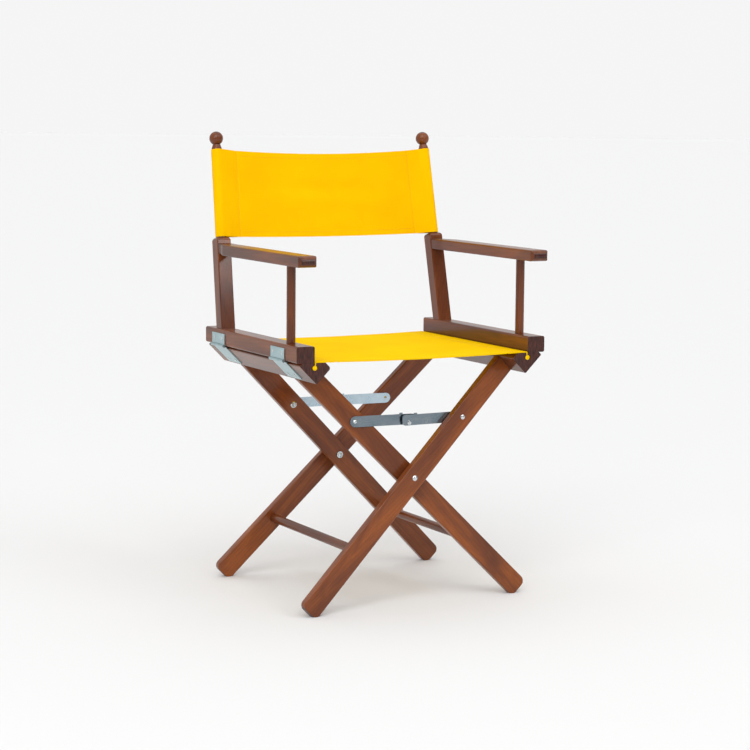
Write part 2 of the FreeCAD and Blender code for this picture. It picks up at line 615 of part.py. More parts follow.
def make_nut(y_face, y_out):
    low, high = sorted((y_face, y_out))
    nut = rod_y(0, PIVOT_Z, low, high, NUT_R).cut(rod_y(0, PIVOT_Z, low - 1, high + 1, BOLT_R))
    groove_low, groove_high = sorted((y_out - (y_out - y_face) * 0.6, y_out + (y_out - y_face)))
    return nut.cut(ring_groove(0, PIVOT_Z, groove_low, groove_high, BOLT_R - 0.5, BOLT_R + 1.1))


def make_spacer(y_middle):
    half = LEG_GAP / 2 - SPACER_R * LEG_SPLAY - 0.15
    ring = rod_y(0, PIVOT_Z, y_middle - half, y_middle + half, SPACER_R)
    return ring.cut(rod_y(0, PIVOT_Z, y_middle - half - 1, y_middle + half + 1, BOLT_R))


# The nut stands off the leaning face by its own radius times the splay, and a little play.
stand_off = HALF_T / math.cos(TILT) + NUT_R * LEG_SPLAY + 0.2
front_nut = INNER_FRONT + stand_off
rear_nut = INNER_REAR - stand_off
save("front_pivot_bolt", make_pivot(OUTER_FRONT, 1, front_nut + NUT_H))
save("rear_pivot_bolt", make_pivot(OUTER_REAR, -1, rear_nut - NUT_H))
save("front_pivot_nut", make_nut(front_nut, front_nut + NUT_H))
save("rear_pivot_nut", make_nut(rear_nut, rear_nut - NUT_H))
save("front_pivot_spacer", make_spacer((OUTER_FRONT + INNER_FRONT) / 2))
save("rear_pivot_spacer", make_spacer((OUTER_REAR + INNER_REAR) / 2))

# Seat canvas: one sheet over both rails, its hems looped round the rods in the grooves.
SEAT_Z = SEAT_RAIL_TOP + 0.5
strip_x0 = SLOT_X + (GROOVE_SLOT - CANVAS) / 2
strip_x1 = strip_x0 + CANVAS
hem = rod_y(GROOVE_X, GROOVE_Z, FRONT_Y, REAR_Y, HEM_R)
hem = hem.cut(rod_y(GROOVE_X, GROOVE_Z, FRONT_Y - 1, REAR_Y + 1, ROD_R + 0.1))
neck = block(strip_x0, strip_x1, FRONT_Y, REAR_Y, GROOVE_Z + 2, SEAT_Z + CANVAS)
neck = neck.cut(rod_y(GROOVE_X, GROOVE_Z, FRONT_Y - 1, REAR_Y + 1, ROD_R + 0.1))
panel = block(-strip_x1, strip_x1, FRONT_Y, REAR_Y, SEAT_Z, SEAT_Z + CANVAS)
seat = panel.fuse([hem, neck, mirror_x(hem), mirror_x(neck)]).removeSplitter()
save("seat_sling", seat)

# Back canvas: a panel between two sleeves that slide down over the posts.
def sleeve_solid(radius, taper_end, low, high):
    tube = Part.makeCylinder(radius, high - low, vec(0, 0, low))
    tangent = math.sqrt(taper_end * taper_end - radius * radius)
    tx = -radius * radius / taper_end
    ty = radius * tangent / taper_end
    tip = vec(-taper_end, 0, low)
    wedge = Part.makePolygon([tip, vec(tx, ty, low), vec(tx, -ty, low), tip])
    return tube.fuse(Part.Face(wedge).extrude(vec(0, 0, high - low)))


low_along = (BACK_LOW - ARM_HIGH) / post_z.z
high_along = (BACK_HIGH - ARM_HIGH) / post_z.z
taper = SLEEVE_W - SLEEVE_R
outer_sleeve = sleeve_solid(SLEEVE_R, taper, low_along, high_along)
inner_taper = taper - CANVAS * taper / SLEEVE_R
inner_sleeve = sleeve_solid(SLEEVE_R - CANVAS, inner_taper, low_along - 1, high_along + 1)


def post_point(x, along, depth):
    # A point in the plane of the two posts, measured up along the post.
    z = ARM_HIGH + post_z.z * along
    y = POST_Y + post_z.y * along
    normal = vec(0, -post_z.z, post_z.y).normalize()
    return vec(x, y, z) + normal * depth


half_low = POST_X - POST_TOE_IN * (BACK_LOW - ARM_HIGH) / (BALL_Z - ARM_HIGH) - taper + 6
half_high = POST_X - POST_TOE_IN * (BACK_HIGH - ARM_HIGH) / (BALL_Z - ARM_HIGH) - taper + 6
sheet = Part.makePolygon([
    post_point(-half_low, low_along, -CANVAS / 2), post_point(half_low, low_along, -CANVAS / 2),
    post_point(half_high, high_along, -CANVAS / 2), post_point(-half_high, high_along, -CANVAS / 2),
    post_point(-half_low, low_along, -CANVAS / 2)])
sheet_normal = vec(0, -post_z.z, post_z.y).normalize()
back_panel = Part.Face(sheet).extrude(sheet_normal * CANVAS)
right_sleeve = on_post(outer_sleeve)
left_sleeve = mirror_x(right_sleeve)
right_hollow = on_post(inner_sleeve)
left_hollow = mirror_x(right_hollow)
back = back_panel.fuse([right_sleeve, left_sleeve])
back = back.cut(right_hollow).cut(left_hollow)
save("back_sling", back.removeSplitter())
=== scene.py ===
import math

import bmesh
import bpy
from mathutils import Matrix, Vector


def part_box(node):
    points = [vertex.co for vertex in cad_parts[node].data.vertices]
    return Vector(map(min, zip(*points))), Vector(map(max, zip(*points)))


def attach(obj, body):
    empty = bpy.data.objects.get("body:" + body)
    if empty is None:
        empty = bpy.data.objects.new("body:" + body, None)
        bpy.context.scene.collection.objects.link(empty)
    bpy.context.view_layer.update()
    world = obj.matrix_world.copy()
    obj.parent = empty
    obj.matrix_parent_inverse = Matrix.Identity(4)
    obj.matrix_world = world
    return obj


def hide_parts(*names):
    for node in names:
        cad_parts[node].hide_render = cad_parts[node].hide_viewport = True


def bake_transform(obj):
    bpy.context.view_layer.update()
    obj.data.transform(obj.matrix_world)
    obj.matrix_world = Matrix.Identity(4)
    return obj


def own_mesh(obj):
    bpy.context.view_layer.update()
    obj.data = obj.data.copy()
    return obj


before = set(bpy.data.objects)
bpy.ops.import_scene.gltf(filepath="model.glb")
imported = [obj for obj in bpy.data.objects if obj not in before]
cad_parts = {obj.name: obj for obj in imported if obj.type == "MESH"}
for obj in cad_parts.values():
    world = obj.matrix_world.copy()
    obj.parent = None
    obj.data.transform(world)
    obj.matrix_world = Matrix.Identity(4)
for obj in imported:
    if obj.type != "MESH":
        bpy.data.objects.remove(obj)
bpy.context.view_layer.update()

MM = 0.001

# ---------------------------------------------------------------- Studio
# A pale floor without edges, an even pale room, broad lamps on each side and above, and two small near
# ones. The camera stands off the sitter's right hand, a little higher than the chair, with a long lens.
BLACK, WHITE = (0.0, 0.0, 0.0), (1.0, 1.0, 1.0)
ROOM_LOW, ROOM_LEVEL = (0.12, 0.12, 0.13), (0.60, 0.61, 0.63)
ROOM_STRENGTH = 0.75
BACKDROP = (0.915, 0.915, 0.915, 1.0)
FLOOR_PAINT = (0.752, 0.752, 0.752, 1.0)
FLOOR_RADIUS = 60.0
CHAIR_MIDDLE = (0, 0, 0.6)


def new_material(name):
    material = bpy.data.materials.new(name)
    material.use_nodes = True
    return material, material.node_tree, material.node_tree.nodes["Principled BSDF"]


def add_node(tree, kind, inputs=(), **settings):
    made = tree.nodes.new(kind)
    for key, value in settings.items():
        setattr(made, key, value)
    for key, value in dict(inputs).items():
        if isinstance(value, bpy.types.NodeSocket):
            tree.links.new(value, made.inputs[key])
        else:
            made.inputs[key].default_value = value
    return made


def color_ramp(tree, factor, stops):
    ramp = add_node(tree, "ShaderNodeValToRGB", {"Fac": factor})
    elements = ramp.color_ramp.elements
    while len(elements) < len(stops):
        elements.new(0.5)
    for element, (place, color) in zip(elements, stops):
        element.position = place
        element.color = (*color, 1.0)
    return ramp.outputs["Color"]


def mix_colors(tree, factor, a, b, blend="MIX"):
    made = add_node(tree, "ShaderNodeMix", data_type="RGBA", blend_type=blend)
    for socket, value in ((made.inputs[0], factor), (made.inputs[6], a), (made.inputs[7], b)):
        if isinstance(value, bpy.types.NodeSocket):
            tree.links.new(value, socket)
        elif isinstance(value, tuple):
            socket.default_value = (*value, 1.0)
        else:
            socket.default_value = value
    return made.outputs[2]


def lay_over(tree, share, color, pattern, stops):
    # The colour, darkened or lightened by a pattern laid over it.
    return mix_colors(tree, share, color, color_ramp(tree, pattern, stops), "MULTIPLY")


def arithmetic(tree, operation, a, b):
    made = add_node(tree, "ShaderNodeMath", {0: a, 1: b}, operation=operation)
    return made.outputs[0]


def assign(piece, material):
    piece.data.materials.clear()
    piece.data.materials.append(material)


def deselect():
    bpy.ops.object.select_all(action="DESELECT")


world = bpy.data.worlds.new("studio")
world.use_nodes = True
bpy.context.scene.world = world
sky = world.node_tree
for old in list(sky.nodes):
    sky.nodes.remove(old)
direction = add_node(sky, "ShaderNodeTexCoord").outputs["Generated"]
split = add_node(sky, "ShaderNodeSeparateXYZ", {"Vector": direction})
rising = arithmetic(sky, "MULTIPLY_ADD", split.outputs["Z"], 0.9)
up_and_back = arithmetic(sky, "ADD", split.outputs["Y"], rising)
room = color_ramp(sky, up_and_back, [(0.0, ROOM_LOW), (0.5, ROOM_LEVEL), (1.0, WHITE)])
soft_room = add_node(sky, "ShaderNodeBackground", {"Color": room, "Strength": ROOM_STRENGTH})
plain_room = add_node(sky, "ShaderNodeBackground", {"Color": BACKDROP, "Strength": 1.0})
is_camera = add_node(sky, "ShaderNodeLightPath").outputs["Is Camera Ray"]
seen = add_node(sky, "ShaderNodeMixShader", {
    0: is_camera, 1: soft_room.outputs[0], 2: plain_room.outputs[0]})
add_node(sky, "ShaderNodeOutputWorld", {"Surface": seen.outputs[0]})

deselect()
bpy.ops.mesh.primitive_circle_add(vertices=96, radius=FLOOR_RADIUS, fill_type="NGON", location=(0, 0, 0))
floor = bpy.context.object
floor.name = "floor"
floor_paint, _, shader = new_material("floor_paint")
shader.inputs["Base Color"].default_value = FLOOR_PAINT
shader.inputs["Roughness"].default_value = 0.9
shader.inputs["Specular IOR Level"].default_value = 0.1
assign(floor, floor_paint)


def add_lamp(name, place, width, strength):
    # A lamp so far off that it lights the whole floor evenly. width is its breadth in degrees.
    lamp = bpy.data.lights.new(name, "SUN")
    lamp.angle = math.radians(width)
    lamp.energy = strength
    holder = bpy.data.objects.new(name, lamp)
    holder.rotation_euler = (-Vector(place)).to_track_quat("-Z", "Y").to_euler()
    bpy.context.scene.collection.objects.link(holder)


add_lamp("left_lamp", place=(-1.6, -2.6, 2.6), width=48.0, strength=1.50)
add_lamp("right_lamp", place=(1.6, -2.4, 2.6), width=40.0, strength=0.60)
add_lamp("top_lamp", place=(0.2, 0.9, 3.8), width=60.0, strength=0.50)


def add_glint(name, place, size, power):
    # A small lamp near the chair. Its reflection gives the varnish and the round tops their highlights.
    lamp = bpy.data.lights.new(name, "AREA")
    lamp.size = size
    lamp.energy = power
    holder = bpy.data.objects.new(name, lamp)
    holder.location = place
    holder.rotation_euler = (Vector(CHAIR_MIDDLE) - Vector(place)).to_track_quat("-Z", "Y").to_euler()
    bpy.context.scene.collection.objects.link(holder)


add_glint("left_glint", place=(-3.2, -2.2, 2.1), size=0.60, power=12.0)
add_glint("right_glint", place=(1.2, -3.4, 2.0), size=0.60, power=9.0)

CAMERA_PLACE = Vector((-1.966556, -3.818291, 0.928880))
CAMERA_YAW, CAMERA_PITCH, CAMERA_ROLL = (math.radians(a) for a in (27.396, -6.902, 0.528))
forward = Vector((math.sin(CAMERA_YAW) * math.cos(CAMERA_PITCH),
                  math.cos(CAMERA_YAW) * math.cos(CAMERA_PITCH),
                  math.sin(CAMERA_PITCH)))
right = Vector((math.cos(CAMERA_YAW), -math.sin(CAMERA_YAW), 0))
up = right.cross(forward)
right, up = (right * math.cos(CAMERA_ROLL) + up * math.sin(CAMERA_ROLL),
             up * math.cos(CAMERA_ROLL) - right * math.sin(CAMERA_ROLL))
lens = bpy.data.cameras.new("camera")
lens.lens = 108.164
lens.sensor_width = 36.0
lens.clip_end = 200.0
camera = bpy.data.objects.new("camera", lens)
camera_turn = Matrix((right, up, -forward)).transposed().to_4x4()
camera.matrix_world = Matrix.Translation(CAMERA_PLACE) @ camera_turn
bpy.context.scene.collection.objects.link(camera)
bpy.context.scene.camera = camera
bpy.context.scene.view_settings.view_transform = "Standard"
bpy.context.scene.view_settings.look = "None"

# ---------------------------------------------------------------- Wooden parts
# Solid beech, planed, with its edges eased, stained dark walnut and varnished to a satin gloss.
# The grain runs along each piece. Where it is cut across, the stain has soaked in and is darker.
WALNUT_DEEP = (0.095, 0.023, 0.009)
WALNUT_MID = (0.158, 0.040, 0.010)
WALNUT_WARM = (0.275, 0.071, 0.011)
END_GRAIN = (0.052, 0.012, 0.007)
RING_SHARE, STREAK_SHARE, FLECK_SHARE, PORE_SHARE = 0.16, 0.24, 0.35, 0.85


def make_wood(name, grain, turn, warmth):
    # turn brings the grain direction onto X. warmth moves the stain from deep to warm brown.
    tone = 0.50 + 0.66 * warmth
    material, tree, shader = new_material(name)
    where = add_node(tree, "ShaderNodeTexCoord")
    along = add_node(tree, "ShaderNodeMapping", {"Vector": where.outputs["Object"], "Rotation": turn})

    def stretched(length_scale, cross_scale):
        return add_node(tree, "ShaderNodeMapping", {
            "Vector": along.outputs[0], "Scale": (length_scale, cross_scale, cross_scale)}).outputs[0]

    figure = add_node(tree, "ShaderNodeTexNoise", {
        "Vector": stretched(3.5, 26.0), "Scale": 1.0,
        "Detail": 3.0, "Roughness": 0.55, "Distortion": 0.9})
    color = color_ramp(tree, figure.outputs["Fac"], [
        (0.30 - warmth * 0.12, WALNUT_DEEP),
        (0.50 - warmth * 0.10, WALNUT_MID),
        (0.74 - warmth * 0.12, WALNUT_WARM)])
    rings = add_node(tree, "ShaderNodeTexWave", {
        "Vector": stretched(5.0, 95.0), "Scale": 1.0,
        "Distortion": 7.0, "Detail": 3.0, "Detail Scale": 0.6},
        wave_type="BANDS", bands_direction="DIAGONAL")
    color = lay_over(tree, RING_SHARE, color, rings.outputs["Fac"], [
        (0.0, (0.42, 0.36, 0.34)), (0.55, WHITE), (1.0, (1.18, 1.12, 1.05))])
    streaks = add_node(tree, "ShaderNodeTexNoise", {
        "Vector": stretched(14.0, 520.0), "Scale": 1.0, "Detail": 2.0, "Roughness": 0.5})
    color = lay_over(tree, STREAK_SHARE, color, streaks.outputs["Fac"], [
        (0.30, (0.50, 0.44, 0.42)), (0.52, WHITE), (0.78, (1.30, 1.25, 1.2))])
    flecks = add_node(tree, "ShaderNodeTexNoise", {
        "Vector": stretched(230.0, 1500.0), "Scale": 1.0, "Detail": 1.0})
    fleck = color_ramp(tree, flecks.outputs["Fac"], [(0.62, BLACK), (0.70, WHITE)])
    color = mix_colors(tree, arithmetic(tree, "MULTIPLY", fleck, FLECK_SHARE), color, WALNUT_DEEP)
    color = mix_colors(tree, 1.0, color, (tone, tone, tone), "MULTIPLY")

    facing = add_node(tree, "ShaderNodeVectorMath", {
        0: where.outputs["Normal"], 1: grain}, operation="DOT_PRODUCT")
    across = arithmetic(tree, "ABSOLUTE", facing.outputs["Value"], 0.0)
    cut_end = color_ramp(tree, across, [(0.80, BLACK), (0.94, WHITE)])
    layers = add_node(tree, "ShaderNodeMapping", {
        "Vector": where.outputs["Object"], "Scale": (620.0, 620.0, 70.0)})
    pores = add_node(tree, "ShaderNodeTexNoise", {
        "Vector": layers.outputs[0], "Scale": 1.0, "Detail": 2.0})
    end_color = lay_over(tree, PORE_SHARE, END_GRAIN, pores.outputs["Fac"], [
        (0.38, (0.25, 0.25, 0.25)), (0.62, (1.6, 1.5, 1.4))])
    color = mix_colors(tree, cut_end, color, end_color)
    tree.links.new(color, shader.inputs["Base Color"])

    gloss = add_node(tree, "ShaderNodeMapRange", {
        "Value": streaks.outputs["Fac"], "To Min": 0.34, "To Max": 0.46})
    tree.links.new(gloss.outputs[0], shader.inputs["Roughness"])
    pits = arithmetic(tree, "MULTIPLY", fleck, 0.5)
    relief = arithmetic(tree, "SUBTRACT", streaks.outputs["Fac"], pits)
    bump = add_node(tree, "ShaderNodeBump", {"Height": relief, "Strength": 0.22, "Distance": 0.0004})
    tree.links.new(bump.outputs[0], shader.inputs["Normal"])
    shader.inputs["Specular IOR Level"].default_value = 0.12
    shader.inputs["Coat Weight"].default_value = 0.55
    shader.inputs["Coat Roughness"].default_value = 0.12
    return material


HALF_RIGHT = math.pi / 4
LEAN = math.sqrt(0.5)
GRAINS = {
    "rising_right": ((LEAN, 0, LEAN), (0, HALF_RIGHT, 0)),
    "rising_left": ((-LEAN, 0, LEAN), (0, 3 * HALF_RIGHT, 0)),
    "front_to_back": ((0, 1, 0), (0, 0, -2 * HALF_RIGHT)),
    "upright": ((0, 0, 1), (0, 2 * HALF_RIGHT, 0)),
}
WOODEN = {
    "rising_right": (0.75, ["outer_leg_front", "outer_leg_rear"]),
    "rising_left": (0.68, ["inner_leg_front", "inner_leg_rear"]),
    "front_to_back": (0.34, ["left_seat_rail", "right_seat_rail", "left_arm_rail", "right_arm_rail",
                             "left_armrest", "right_armrest", "outer_rung", "inner_rung"]),
    "upright": (0.48, ["left_back_post", "right_back_post", "left_arm_post", "right_arm_post"]),
}
for grain_name, (warmth, names) in WOODEN.items():
    grain, turn = GRAINS[grain_name]
    stained = make_wood("walnut_stain_" + grain_name, grain, turn, warmth)
    for name in names:
        assign(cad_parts[name], stained)

# ---------------------------------------------------------------- Rods in the seat hems
# Plain birch dowels, pale and unvarnished, one in each side hem of the seat. The hems hide them.
BIRCH_DARK, BIRCH_LIGHT = (0.30, 0.18, 0.09), (0.58, 0.42, 0.26)
birch, tree, shader = new_material("bare_birch")
where = add_node(tree, "ShaderNodeTexCoord").outputs["Object"]
lengthwise = add_node(tree, "ShaderNodeMapping", {"Vector": where, "Scale": (700.0, 20.0, 700.0)})
fibres = add_node(tree, "ShaderNodeTexNoise", {
    "Vector": lengthwise.outputs[0], "Scale": 1.0, "Detail": 3.0}).outputs["Fac"]
birch_color = color_ramp(tree, fibres, [(0.3, BIRCH_DARK), (0.7, BIRCH_LIGHT)])
tree.links.new(birch_color, shader.inputs["Base Color"])
bump = add_node(tree, "ShaderNodeBump", {"Height": fibres, "Strength": 0.3, "Distance": 0.0003})
tree.links.new(bump.outputs[0], shader.inputs["Normal"])
shader.inputs["Roughness"].default_value = 0.7
for name in ("left_seat_rod", "right_seat_rod"):
    assign(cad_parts[name], birch)

# ---------------------------------------------------------------- Hinges, stays, spacers and nuts
# Pressed steel strip, zinc plated with a faint blue cast. The plating is a little cloudy, and the rolled
# strip keeps fine lines along its length. The front stays are coloured darker than the rear ones.


def make_zinc(name, dark, light, stretch, rough):
    # stretch is the scale of the fine rolled lines on X, Y and Z. rough is the least roughness.
    material, tree, shader = new_material(name)
    where = add_node(tree, "ShaderNodeTexCoord").outputs["Object"]
    clouds = add_node(tree, "ShaderNodeTexNoise", {
        "Vector": where, "Scale": 38.0, "Detail": 3.0, "Roughness": 0.5})
    lines = add_node(tree, "ShaderNodeTexNoise", {
        "Vector": add_node(tree, "ShaderNodeMapping", {"Vector": where, "Scale": stretch}).outputs[0],
        "Scale": 1.0, "Detail": 2.0})
    spots = add_node(tree, "ShaderNodeTexVoronoi", {"Vector": where, "Scale": 420.0}, feature="F1")
    color = color_ramp(tree, clouds.outputs["Fac"], [(0.32, dark), (0.66, light)])
    color = lay_over(tree, 0.15, color, spots.outputs["Color"], [
        (0.2, (0.75, 0.78, 0.82)), (0.8, (1.1, 1.1, 1.1))])
    tree.links.new(color, shader.inputs["Base Color"])
    gloss = add_node(tree, "ShaderNodeMapRange", {
        "Value": clouds.outputs["Fac"], "From Min": 0.3, "From Max": 0.7,
        "To Min": rough, "To Max": rough + 0.08})
    tree.links.new(gloss.outputs[0], shader.inputs["Roughness"])
    bump = add_node(tree, "ShaderNodeBump", {
        "Height": lines.outputs["Fac"], "Strength": 0.18, "Distance": 0.0002})
    tree.links.new(bump.outputs[0], shader.inputs["Normal"])
    shader.inputs["Metallic"].default_value = 1.0
    return material


ALONG_STRIP = (30.0, 900.0, 900.0)
zinc = make_zinc("zinc_plate", (0.36, 0.49, 0.51), (0.45, 0.58, 0.60), (900.0, 60.0, 60.0), 0.30)
bright_strip = make_zinc("bright_strip", (0.42, 0.54, 0.62), (0.54, 0.66, 0.74), ALONG_STRIP, 0.24)
steel = make_zinc("bolt_steel", (0.56, 0.61, 0.63), (0.74, 0.78, 0.80), (300.0, 300.0, 300.0), 0.20)
# The front stays get darker colours than the rear ones, and a little less roughness.
darker_strip = make_zinc("darker_strip", (0.22, 0.28, 0.32), (0.32, 0.38, 0.42), ALONG_STRIP, 0.20)
for side in ("left", "right"):
    for end in ("front", "rear"):
        for part in ("upper_leaf", "lower_leaf", "hinge_pin"):
            assign(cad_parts[side + "_" + end + "_" + part], zinc)
        assign(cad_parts[end + "_" + side + "_stay"], darker_strip if end == "front" else bright_strip)
        assign(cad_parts[end + "_" + side + "_rivet_half"], steel)
        for part in ("pivot_nut", "pivot_spacer"):
            assign(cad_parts[end + "_" + part], steel)

# ---------------------------------------------------------------- Screws and bolts
# Zinc plated steel. The hinge screws and the bolts' domed heads have a pressed cross for the driver,
# given here as its width and depth.
HINGE_CROSS = (0.0038, 0.0006)
PIVOT_CROSS = (0.0052, 0.0014)
STAY_CROSS = (0.0036, 0.0008)
FORWARD, REARWARD = Vector((0, -1, 0)), Vector((0, 1, 0))


def pick(piece):
    # The piece alone is selected, so that the next operator acts on nothing else.
    deselect()
    piece.select_set(True)
    bpy.context.view_layer.objects.active = piece


def copy_node(node, name):
    # A node's mesh as one joined skin, under a new name.
    piece = bpy.data.objects.new(name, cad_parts[node].data.copy())
    bpy.context.scene.collection.objects.link(piece)
    pick(piece)
    bpy.ops.object.mode_set(mode="EDIT")
    bpy.ops.mesh.select_all(action="SELECT")
    bpy.ops.mesh.remove_doubles(threshold=0.00001)
    bpy.ops.object.mode_set(mode="OBJECT")
    return piece


def loose_parts(mesh):
    # The vertices of each separate solid in a mesh, in the mesh's own order.
    shape = bmesh.new()
    shape.from_mesh(mesh)
    taken = set()
    parts = []
    for first in shape.verts:
        if first.index in taken:
            continue
        taken.add(first.index)
        found = [first]
        for vert in found:
            for near in (edge.other_vert(vert) for edge in vert.link_edges):
                if near.index not in taken:
                    taken.add(near.index)
                    found.append(near)
        parts.append([vert.co.copy() for vert in found])
    shape.free()
    return parts


def head_tops(mesh, outward):
    # The middle of each solid's outermost face, looking along outward.
    tops = []
    for part in loose_parts(mesh):
        highest = max(co.dot(outward) for co in part)
        middle = sum(part, Vector()) / len(part)
        tops.append(middle + outward * (highest - middle.dot(outward)))
    return tops


def press_crosses(piece, outward, cross):
    # Two crossing tapered bars are sunk into each head that faces outward.
    width, depth = cross
    tops = head_tops(piece.data, outward)
    side = outward.orthogonal().normalized()
    other = outward.cross(side)
    cutters = []
    for place in tops:
        for across, thin in ((side, other), (other, side)):
            deselect()
            bpy.ops.mesh.primitive_cube_add(size=1.0)
            bar = bpy.context.object
            turn = Matrix((across, thin, outward)).transposed().to_4x4()
            scale = Matrix.Diagonal((width, width * 0.22, depth * 2, 1.0))
            bpy.ops.object.mode_set(mode="EDIT")
            shape = bmesh.from_edit_mesh(bar.data)
            for v in shape.verts:
                if v.co.z < 0:
                    v.co.x *= 0.45
                    v.co.y *= 0.7
            bmesh.update_edit_mesh(bar.data)
            bpy.ops.object.mode_set(mode="OBJECT")
            bar.data.transform(Matrix.Translation(place) @ turn @ scale)
            cutters.append(bar)
    for cutter in cutters:
        cut = piece.modifiers.new("cross", "BOOLEAN")
        cut.operation = "DIFFERENCE"
        cut.solver = "EXACT"
        cut.object = cutter
        pick(piece)
        bpy.ops.object.modifier_apply(modifier=cut.name)
        bpy.data.objects.remove(cutter)


def finish_steel(piece, node, body):
    pick(piece)
    bpy.ops.object.shade_smooth_by_angle(angle=math.radians(30))
    assign(piece, steel)
    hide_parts(node)
    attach(piece, body)


for side, sign, body in (("left", -1, "inner_frame"), ("right", 1, "outer_frame")):
    for row, outward, rider in (("upper", Vector((sign, 0, 0)), side + "_arm_frame"),
                                ("lower", Vector((sign * LEAN, 0, -LEAN)), body)):
        node = side + "_" + row + "_hinge_screws"
        screws = copy_node(node, node + "_cross_head")
        press_crosses(screws, outward, HINGE_CROSS)
        finish_steel(screws, node, rider)

for node, outward in (("front_pivot_bolt", FORWARD), ("rear_pivot_bolt", REARWARD)):
    bolt = copy_node(node, node + "_cross_head")
    press_crosses(bolt, outward, PIVOT_CROSS)
    finish_steel(bolt, node, "outer_frame")
for node, body in (("outer_stay_bolts", "outer_frame"), ("inner_stay_bolts", "inner_frame")):
    bolts = copy_node(node, node + "_cross_head")
    for outward in (FORWARD, REARWARD):
        press_crosses(bolts, outward, STAY_CROSS)
    finish_steel(bolts, node, body)

# ---------------------------------------------------------------- Seat canvas
# One piece of heavy cotton canvas. Each side is turned round a dowel, slid into the keyhole groove of
# the seat rail, and its end sewn under the seat. Front and back edges are turned under and stitched.
CLOTH_THICK = 0.9 * MM
SLUB_SHARE, WEAVE_SHARE = 0.20, 0.12


def make_canvas(name, light, deep):
    # Plain weave read from the cloth's own flat measure, with slubs, and a soft uneven dye.
    material, tree, shader = new_material(name)
    flat = add_node(tree, "ShaderNodeUVMap", uv_map="cloth").outputs["UV"]
    threads = []
    for direction in ("X", "Y"):
        wave = add_node(tree, "ShaderNodeTexWave", {
            "Vector": flat, "Scale": 320.0, "Distortion": 0.6, "Detail": 1.0, "Detail Scale": 0.5},
            wave_type="BANDS", bands_direction=direction, wave_profile="SIN")
        threads.append(wave.outputs["Fac"])
    weave = arithmetic(tree, "MULTIPLY", threads[0], threads[1])
    slubs = []
    for scale in ((25.0, 900.0, 1.0), (900.0, 25.0, 1.0)):
        stretched = add_node(tree, "ShaderNodeMapping", {"Vector": flat, "Scale": scale}).outputs[0]
        noise = add_node(tree, "ShaderNodeTexNoise", {"Vector": stretched, "Scale": 1.0, "Detail": 2.0})
        slubs.append(noise.outputs["Fac"])
    slub = arithmetic(tree, "MULTIPLY", arithmetic(tree, "ADD", slubs[0], slubs[1]), 0.5)
    dye = add_node(tree, "ShaderNodeTexNoise", {
        "Vector": flat, "Scale": 9.0, "Detail": 3.0, "Roughness": 0.5})
    color = color_ramp(tree, dye.outputs["Fac"], [(0.30, deep), (0.62, light)])
    color = lay_over(tree, SLUB_SHARE, color, slub, [(0.36, (0.80, 0.74, 0.6)), (0.56, WHITE)])
    color = lay_over(tree, WEAVE_SHARE, color, weave, [(0.0, (0.72, 0.66, 0.55)), (0.45, WHITE)])
    tree.links.new(color, shader.inputs["Base Color"])
    height = arithmetic(tree, "ADD", weave, arithmetic(tree, "MULTIPLY", slub, 1.2))
    bump = add_node(tree, "ShaderNodeBump", {"Height": height, "Strength": 0.35, "Distance": 0.0003})
    tree.links.new(bump.outputs[0], shader.inputs["Normal"])
    shader.inputs["Roughness"].default_value = 0.82
    shader.inputs["Specular IOR Level"].default_value = 0.02
    return material


seat_canvas = make_canvas("seat_canvas", (0.94, 0.60, 0.0008), (0.90, 0.55, 0.0006))


def cloth_from_grid(name, rows, spots):
    # rows[i][j] are points on the middle of the cloth; spots[i][j] the same points on the flat cut.
    count = len(rows[0])
    shape = bmesh.new()
    verts = [[shape.verts.new(p) for p in row] for row in rows]
    layer = shape.loops.layers.uv.new("cloth")
    for i in range(len(rows) - 1):
        for j in range(count - 1):
            corners = ((i, j), (i, j + 1), (i + 1, j + 1), (i + 1, j))
            face = shape.faces.new([verts[a][b] for a, b in corners])
            face.smooth = True
            for loop, (a, b) in zip(face.loops, corners):
                loop[layer].uv = spots[a][b]
    mesh = bpy.data.meshes.new(name)
    shape.to_mesh(mesh)
    shape.free()
    piece = bpy.data.objects.new(name, mesh)
    bpy.context.scene.collection.objects.link(piece)
    return piece


def thicken(piece):
    # The cloth gets its thickness, half on each side of its middle.
    pick(piece)
    wall = piece.modifiers.new("wall", "SOLIDIFY")
    wall.thickness = CLOTH_THICK
    wall.offset = 0.0
    bpy.ops.object.modifier_apply(modifier=wall.name)
    bpy.ops.object.shade_smooth_by_angle(angle=math.radians(50))


def spaced(path, step):
    # The path with points no further apart than step.
    made = [path[0]]
    for a, b in zip(path, path[1:]):
        parts = max(1, math.ceil((Vector(b) - Vector(a)).length / step))
        made += [tuple(Vector(a).lerp(Vector(b), k / parts)) for k in range(1, parts + 1)]
    return made


def measured(path):
    # How far along the path each point lies.
    total = [0.0]
    for a, b in zip(path, path[1:]):
        total.append(total[-1] + (Vector(b) - Vector(a)).length)
    return total


def arc(centre, radius, start, end, count):
    # Points round part of a circle, from start to end in degrees.
    return [(centre[0] + radius * math.cos(math.radians(start + (end - start) * k / count)),
             centre[1] + radius * math.sin(math.radians(start + (end - start) * k / count)))
            for k in range(count + 1)]


